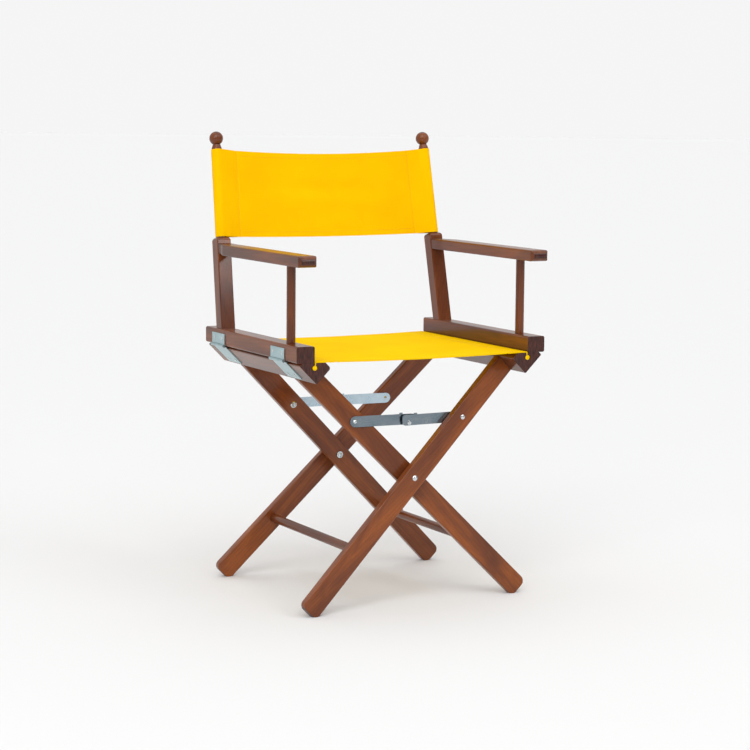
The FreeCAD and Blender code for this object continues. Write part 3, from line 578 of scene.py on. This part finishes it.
seat_low, seat_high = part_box("seat_sling")
SEAT_FRONT, SEAT_REAR = seat_low.y, seat_high.y
rod_low, rod_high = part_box("right_seat_rod")
ROD_X, ROD_Z = (rod_low.x + rod_high.x) / 2, (rod_low.z + rod_high.z) / 2
HEM_RADIUS = 3.9 * MM
TOP_LAYER = seat_high.z + 0.45 * MM
UNDER_LAYER = TOP_LAYER - 1.05 * MM
DOWN_X = ROD_X - 0.7 * MM
UP_X = ROD_X - 1.75 * MM
CORNER = 2.4 * MM
SEAT_SAG = 3.0 * MM
SEAM_IN = 186.0 * MM
ROD_REGION = 214.0 * MM  # half the width that can sag
TAUT_X = 0.205  # half the width of the stitch rows along the front and back hems
HEM_DEEP = 13.0 * MM
HEM_REACH = 0.176
TUCK_RADIUS, TUCK_HALF = 3.9 * MM, 2.6 * MM
TUCK_DENT = 0.22

# Half of the seat's section, from the middle out, down, round the rod and back under the seat.
half_path = spaced([(0.0, TOP_LAYER), (DOWN_X - CORNER, TOP_LAYER)], 9 * MM)
half_path += arc((DOWN_X - CORNER, TOP_LAYER - CORNER), CORNER, 90, 0, 5)[1:]
entry = math.degrees(math.acos((DOWN_X - ROD_X) / HEM_RADIUS))
leave = math.degrees(math.acos((UP_X - ROD_X) / HEM_RADIUS)) - 360
half_path += arc((ROD_X, ROD_Z), HEM_RADIUS, entry, leave, 22)
half_path += [(UP_X, UNDER_LAYER - CORNER)]
half_path += arc((UP_X - CORNER + 0.4 * MM, UNDER_LAYER - CORNER + 0.4 * MM),
                 CORNER - 0.4 * MM, 0, 90, 4)[1:]
half_path += spaced([(UP_X - CORNER, UNDER_LAYER), (SEAM_IN - 6 * MM, UNDER_LAYER)], 9 * MM)[1:]
section = [(-x, z) for x, z in reversed(half_path)] + half_path[1:]


def seat_dip(x, y):
    # The cloth hangs a little between the rails, most at its loose front and back edges.
    if abs(x) > ROD_REGION:
        return 0.0
    across = 1.0 - (x / ROD_REGION) ** 2
    edge = min(y - SEAT_FRONT, SEAT_REAR - y)
    ripple = 0.35 * MM * math.sin(x * 52.0 + 1.0) * math.sin(y * 31.0 + 0.7)
    return across * (SEAT_SAG * (0.75 + 0.25 * math.exp(-edge / 0.05)) + ripple)


cross = [SEAT_FRONT + (SEAT_REAR - SEAT_FRONT) * k / 72 for k in range(73)]
run = measured(section)
seat = cloth_from_grid(
    "seat_canvas",
    [[(x, y, z - (seat_dip(x, y) if z > ROD_Z + 8 * MM else 0.0)) for y in cross] for x, z in section],
    [[(d, y) for y in cross] for d in run])
thicken(seat)
assign(seat, seat_canvas)

# Turned hems under the front and back edges.
hems = []
for label, edge_y, inward in (("front", SEAT_FRONT, 1), ("rear", SEAT_REAR, -1)):
    xs = [-HEM_REACH + 2 * HEM_REACH * k / 40 for k in range(41)]
    lines = [edge_y + inward * d for d in (0.2 * MM, HEM_DEEP * 0.5, HEM_DEEP)]
    hem = cloth_from_grid(
        "seat_" + label + "_hem",
        [[(x, y, TOP_LAYER - 1.0 * MM - seat_dip(x, y)) for y in lines] for x in xs],
        [[(x, y) for y in lines] for x in xs])
    thicken(hem)
    assign(hem, seat_canvas)
    hems.append(hem)

# The end of each side hem is folded over the end of its rod and tacked down.
tucks = []
for sign, label in ((-1, "left"), (1, "right")):
    for end, y, outward in (("front", SEAT_FRONT + 1.2 * MM, -1), ("rear", SEAT_REAR - 1.2 * MM, 1)):
        deselect()
        bpy.ops.mesh.primitive_uv_sphere_add(segments=24, ring_count=12, radius=1.0)
        tuck = bpy.context.object
        tuck.name = "seat_" + label + "_" + end + "_tuck"
        shape = bmesh.new()
        shape.from_mesh(tuck.data)
        for v in shape.verts:
            fold = 1.0 - TUCK_DENT * math.exp(-(v.co.x / 0.22) ** 2) * (v.co.y * outward > 0)
            v.co = Vector((sign * ROD_X + v.co.x * TUCK_RADIUS,
                           y + v.co.y * TUCK_HALF * fold,
                           ROD_Z + v.co.z * TUCK_RADIUS))
        shape.to_mesh(tuck.data)
        shape.free()
        for polygon in tuck.data.polygons:
            polygon.use_smooth = True
        assign(tuck, seat_canvas)
        tucks.append(tuck)

# Stitches. One stitch is a short bead of thread; rows of them follow a line on the cloth.
deselect()
bpy.ops.mesh.primitive_uv_sphere_add(segments=6, ring_count=4, radius=0.5)
bead = bpy.context.object
bead_mesh = bead.data.copy()
bpy.data.objects.remove(bead)
THREAD_DARK, THREAD_LIGHT = (0.46, 0.17, 0.002), (0.66, 0.27, 0.003)
thread, tree, shader = new_material("sewing_thread")
where = add_node(tree, "ShaderNodeTexCoord").outputs["Object"]
twist = add_node(tree, "ShaderNodeTexNoise", {"Vector": where, "Scale": 1800.0, "Detail": 1.0})
tree.links.new(color_ramp(tree, twist.outputs["Fac"], [(0.3, THREAD_DARK), (0.7, THREAD_LIGHT)]),
               shader.inputs["Base Color"])
shader.inputs["Roughness"].default_value = 0.6
shader.inputs["Sheen Weight"].default_value = 0.2
STITCH_LONG = 2.6 * MM
STITCH_STEP = 3.4 * MM
STITCH_THICK = 0.55 * MM


def sew(name, lines):
    # Each line is a list of (point, outward normal) on the cloth's surface.
    shape = bmesh.new()
    for line in lines:
        travel = measured([p for p, _ in line])
        place = STITCH_STEP / 2
        k = 0
        while place < travel[-1]:
            while travel[k + 1] < place:
                k += 1
            share = (place - travel[k]) / (travel[k + 1] - travel[k])
            a, b = Vector(line[k][0]), Vector(line[k + 1][0])
            along = (b - a).normalized()
            normal = Vector(line[k][1]).normalized()
            side = along.cross(normal).normalized()
            spot = a.lerp(b, share) + normal * (CLOTH_THICK / 2)
            turn = Matrix((along, side, normal)).transposed().to_4x4()
            size = Matrix.Diagonal((STITCH_LONG, STITCH_THICK, STITCH_THICK * 0.7, 1.0))
            before = len(shape.verts)
            shape.from_mesh(bead_mesh)
            shape.verts.ensure_lookup_table()
            moved = Matrix.Translation(spot) @ turn @ size
            bmesh.ops.transform(shape, matrix=moved, verts=shape.verts[before:])
            place += STITCH_STEP
    mesh = bpy.data.meshes.new(name)
    shape.to_mesh(mesh)
    shape.free()
    for polygon in mesh.polygons:
        polygon.use_smooth = True
    piece = bpy.data.objects.new(name, mesh)
    bpy.context.scene.collection.objects.link(piece)
    assign(piece, thread)
    return piece


UPWARD, DOWNWARD = (0, 0, 1), (0, 0, -1)
rows = []
for y in (SEAT_FRONT + HEM_DEEP - 3 * MM, SEAT_REAR - HEM_DEEP + 3 * MM):
    xs = [-TAUT_X + 2 * TAUT_X * k / 60 for k in range(61)]
    rows.append([((x, y, TOP_LAYER - seat_dip(x, y)), UPWARD) for x in xs])
for x in (-SEAM_IN, SEAM_IN, -SEAM_IN - 6 * MM, SEAM_IN + 6 * MM):
    rows.append([((x, y, TOP_LAYER - seat_dip(x, y)), UPWARD) for y in cross])
    rows.append([((x, y, UNDER_LAYER - seat_dip(x, y)), DOWNWARD) for y in cross])
seat_stitches = sew("seat_stitches", rows)
for piece in [seat, seat_stitches] + hems + tucks:
    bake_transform(piece)
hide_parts("seat_sling")

# ---------------------------------------------------------------- Back canvas
# One piece of the same canvas with a sleeve sewn at each end, pulled down over the round tops of the
# back posts. Top and bottom edges are hemmed, and the top sags between the posts.
back_canvas = make_canvas("back_canvas", (0.98, 0.545, 0.0004), (0.95, 0.50, 0.0003))
POST_FOOT = Vector((237.789, 142.3, 495.205)) * MM
BALL_CENTRE = Vector((226.789, 215.3, 856.605)) * MM
post_run = BALL_CENTRE - POST_FOOT
PANEL_NORMAL = Vector((0, -post_run.z, post_run.y)).normalized()
SLEEVE_RADIUS = 10.7 * MM
SLEEVE_SEAM = 39.0 * MM
BACK_LOW, BACK_HIGH = 668.4 * MM, 835.4 * MM
POST_X, SEAM_X = 0.228, 0.2  # about where the posts and the sleeve seams stand, for the sag
TOP_SAG, LOW_SAG = 8.5 * MM, 3.0 * MM
FOLD_DEEP, BOW_DEEP, PULL_DEEP = 1.7 * MM, 3.2 * MM, 0.9 * MM
PINCH = 0.8 * MM
WING = 16.0 * MM
LAP = SLEEVE_SEAM + 7 * MM
PANEL_COLUMNS = 48
SHARES = [k / 28 for k in range(29)]

# The cloth leaves the round of the post at this angle, this far in from its axis and in front of it.
touch = math.degrees(math.acos(SLEEVE_RADIUS / SLEEVE_SEAM))
LEAVE = SLEEVE_RADIUS * math.cos(math.radians(touch))
EDGE = SLEEVE_RADIUS * math.sin(math.radians(touch))


def post_axis(z):
    share = (z - POST_FOOT.z) / post_run.z
    return POST_FOOT + post_run * share


def back_height(x, share):
    # Height at a share of the way up the cloth, with the edges sagging between the posts.
    across = 1.0 - min(1.0, (x / POST_X) ** 2)
    low = BACK_LOW - LOW_SAG * across
    high = BACK_HIGH - TOP_SAG * across
    return low + (high - low) * share


def back_point(x, share, depth):
    z = back_height(x, share)
    axis = post_axis(z)
    return Vector((x, axis.y, z)) + PANEL_NORMAL * depth


def panel_ripple(x, share):
    # Faint level folds in the middle, and pulls that run in from the sleeves' ends.
    middle = math.exp(-(x / 0.11) ** 2)
    belt = math.exp(-((share - 0.52) / 0.22) ** 2)
    folds = FOLD_DEEP * middle * math.sin(share * 19.0 + x * 4.0) * belt
    bow = -BOW_DEEP * (1 - min(1.0, (x / 0.19) ** 2)) * (0.6 + 0.4 * share)
    pull = PULL_DEEP * math.sin(share * 11.0 + abs(x) * 30.0) * min(1.0, abs(x) / 0.19) ** 2
    return folds + bow + pull


def panel_depth(offset, share, x):
    # offset is the distance in from the post's axis. The front layer leaves the sleeve at a slant.
    if offset < SLEEVE_SEAM:
        slant = (offset - LEAVE) / (SLEEVE_SEAM - LEAVE)
        return EDGE + (CLOTH_THICK * 0.55 - EDGE) * slant
    fade = min(1.0, (offset - SLEEVE_SEAM) / 0.02)
    pinch = PINCH * math.exp(-((offset - SLEEVE_SEAM - 2 * MM) / (2 * MM)) ** 2)
    return CLOTH_THICK * 0.55 + fade * panel_ripple(x, share) - pinch


def flap_depth(offset, share, x):
    # The rear layer runs from the back of the post to the seam and a little past it.
    slant = min(1.0, (offset - LEAVE) / (SLEEVE_SEAM - LEAVE))
    fade = min(1.0, max(0.0, offset - SLEEVE_SEAM) / 0.02)
    return -EDGE + (EDGE - CLOTH_THICK * 0.6) * slant + fade * panel_ripple(x, share)


def cloth_row(side, offset, depth):
    # Points up the cloth at one distance in from the post's axis, on the layer that depth gives.
    row = []
    for share in SHARES:
        x = side * (post_axis(back_height(side * SEAM_X, share)).x - offset)
        row.append(back_point(x, share, depth(offset, share, x)))
    return row


offsets = [WING + (SLEEVE_SEAM - WING) * k / 5 for k in range(6)]
offsets += [SLEEVE_SEAM + d * MM for d in (1.0, 2.0, 3.0, 4.5, 6.5)]
rows = [cloth_row(-1, offset, panel_depth) for offset in offsets]
for k in range(1, PANEL_COLUMNS):
    row = []
    for share in SHARES:
        reach = post_axis(back_height(0.0, share)).x - offsets[-1]
        x = (-1 + 2 * k / PANEL_COLUMNS) * reach
        row.append(back_point(x, share, panel_depth(offsets[-1] + reach - abs(x), share, x)))
    rows.append(row)
rows += [cloth_row(1, offset, panel_depth) for offset in reversed(offsets)]
panel = cloth_from_grid("back_canvas", rows, [[(p.x, p.z) for p in row] for row in rows])

flaps = []
for side, label in ((-1, "left"), (1, "right")):
    rows = [cloth_row(side, WING + (LAP - WING) * k / 7, flap_depth) for k in range(8)]
    flaps.append(cloth_from_grid(
        "back_" + label + "_flap", rows, [[(0.6 + p.x, p.z) for p in row] for row in rows]))

# Sleeves: the part of the cloth that goes round each post, with a narrow wing in front and behind.
sleeves = []
turn_end = math.radians(180 - touch)
wing_offsets = [WING + (LEAVE - WING) * k / 4 for k in range(4)]
for side, label in ((-1, "left"), (1, "right")):
    rows = [cloth_row(side, offset, panel_depth) for offset in wing_offsets]
    lengths = [SLEEVE_RADIUS * turn_end + offset - LEAVE for offset in wing_offsets]
    for k in range(25):
        angle = turn_end * (1 - 2 * k / 24)
        row = []
        for share in SHARES:
            axis = post_axis(back_height(side * POST_X, share))
            around = Vector((side * (axis.x + SLEEVE_RADIUS * math.cos(angle)), axis.y, axis.z))
            row.append(around + PANEL_NORMAL * (SLEEVE_RADIUS * math.sin(angle)))
        rows.append(row)
        lengths.append(SLEEVE_RADIUS * angle)
    rows += [cloth_row(side, offset, flap_depth) for offset in reversed(wing_offsets)]
    lengths += [-SLEEVE_RADIUS * turn_end - offset + LEAVE for offset in reversed(wing_offsets)]
    sleeves.append(cloth_from_grid(
        "back_" + label + "_sleeve", rows,
        [[(0.3 * side + length, p.z) for p in row] for row, length in zip(rows, lengths)]))

# Turned hems along the top and bottom, on the rear side of the panel.
BACK_HEM_REACH, BACK_STITCH_REACH = 0.180, 0.186
back_hems = []
for label, low, high in (("top", 0.925, 0.998), ("bottom", 0.002, 0.075)):
    rows, spots = [], []
    for k in range(PANEL_COLUMNS + 1):
        x = (-1 + 2 * k / PANEL_COLUMNS) * BACK_HEM_REACH
        row = [back_point(x, share, panel_depth(POST_X - abs(x), share, x) - CLOTH_THICK * 1.1)
               for share in (low, (low + high) / 2, high)]
        rows.append(row)
        spots.append([(x, p.z) for p in row])
    back_hems.append(cloth_from_grid("back_" + label + "_hem", rows, spots))
for piece in [panel] + flaps + sleeves + back_hems:
    thicken(piece)
    assign(piece, back_canvas)

# Stitches on the panel: the sleeve seams, front and rear, and the two hems.
lines = []
offset = SLEEVE_SEAM + 2 * MM
for side in (-1, 1):
    front_line, rear_line = [], []
    for share in [k / 60 for k in range(61)]:
        x = side * (post_axis(back_height(side * SEAM_X, share)).x - offset)
        depth = panel_depth(offset, share, x)
        front_line.append((back_point(x, share, depth), PANEL_NORMAL))
        rear_line.append((back_point(x, share, depth - CLOTH_THICK * 1.15), -PANEL_NORMAL))
    lines += [front_line, rear_line]
for share in (0.94, 0.06):
    xs = [-BACK_STITCH_REACH + 2 * BACK_STITCH_REACH * k / 80 for k in range(81)]
    front_line = [(back_point(x, share, panel_depth(POST_X - abs(x), share, x)), PANEL_NORMAL)
                  for x in xs]
    rear_line = [(p - PANEL_NORMAL * CLOTH_THICK * 1.1, -PANEL_NORMAL) for p, _ in front_line]
    lines += [front_line, rear_line]
back_stitches = sew("back_stitches", lines)

# The panel, its flaps, hems and stitches ride with the right-hand arm frame, each on a mesh of its own.
# Each sleeve rides with the arm frame on its own side.
for piece in [panel, back_stitches] + flaps + back_hems:
    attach(piece, "right_arm_frame")
    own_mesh(piece)
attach(sleeves[0], "left_arm_frame")
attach(sleeves[1], "right_arm_frame")
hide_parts("back_sling")
